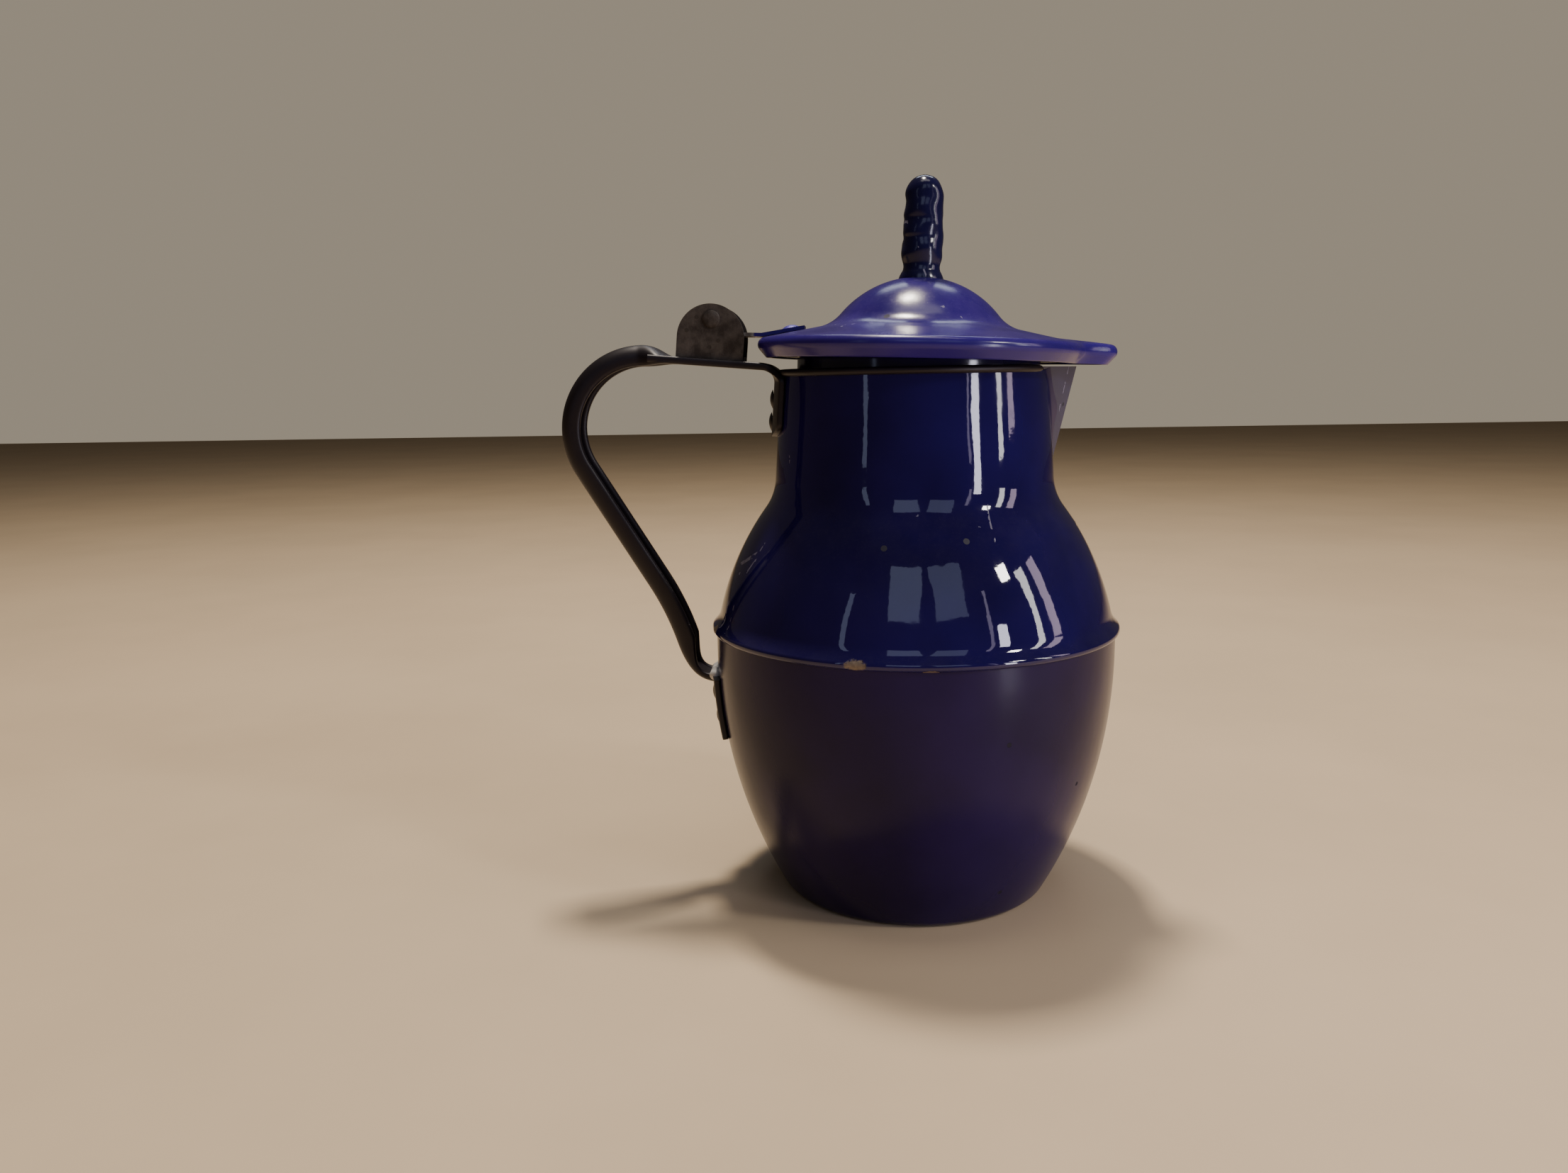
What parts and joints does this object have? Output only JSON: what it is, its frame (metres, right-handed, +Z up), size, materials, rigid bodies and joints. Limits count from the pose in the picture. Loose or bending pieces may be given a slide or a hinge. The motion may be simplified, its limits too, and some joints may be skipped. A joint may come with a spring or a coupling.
{
  "type": "hinged-lid enamelled pouring jug",
  "caption": "Small barrel-bellied enamelled steel jug with a seamed waist, V-shaped pouring lip, strap handle, hinged domed lid with a beak and a tall finger knob.",
  "frame": {"origin": "centre of the flat base, on the jug's axis, on the surface it stands on", "axes": "+Z up along the jug's axis; +X towards the pouring lip, so the handle and hinge lie towards -X; the hinge pin is parallel to Y"},
  "size_m": [0.1254, 0.092, 0.1595],
  "materials": {
    "bowl_enamel": "gloss enamel",
    "shoulder_enamel": "gloss enamel",
    "lip_enamel": "gloss enamel",
    "lid_enamel": "gloss enamel, slightly dusty",
    "collar_enamel": "gloss enamel",
    "knob_enamel": "gloss enamel, thick and uneven",
    "black_enamel": "gloss enamel",
    "braze": "dull, oxidised",
    "bare_steel": "worn and tarnished",
    "bright_steel": "plain"
  },
  "bodies": {
    "pot": {"lower_bowl": "bowl_enamel", "upper_body": "shoulder_enamel", "rim_bead": "black_enamel", "pouring_lip": "lip_enamel", "handle": "black_enamel", "neck_rivets": "black_enamel", "foot_rivets": "black_enamel", "foot_braze": "braze", "hinge_saddle": "bare_steel", "saddle_rivets": "bare_steel", "hinge_pin": "bare_steel"},
    "lid": {"lid": "lid_enamel", "lid_collar": "collar_enamel", "lid_leaf": "bare_steel", "leaf_rivets": "lid_enamel", "knob": "knob_enamel", "knob_stud": "bright_steel", "knob_washer": "bright_steel"}
  },
  "joints": [
    {"name": "lid_hinge", "type": "hinge", "parent": "pot", "child": "lid", "pos_m": [-0.0442, 0, 0.1297], "axis": [0, -1, 0], "range_deg": [0, 185]}
  ]
}
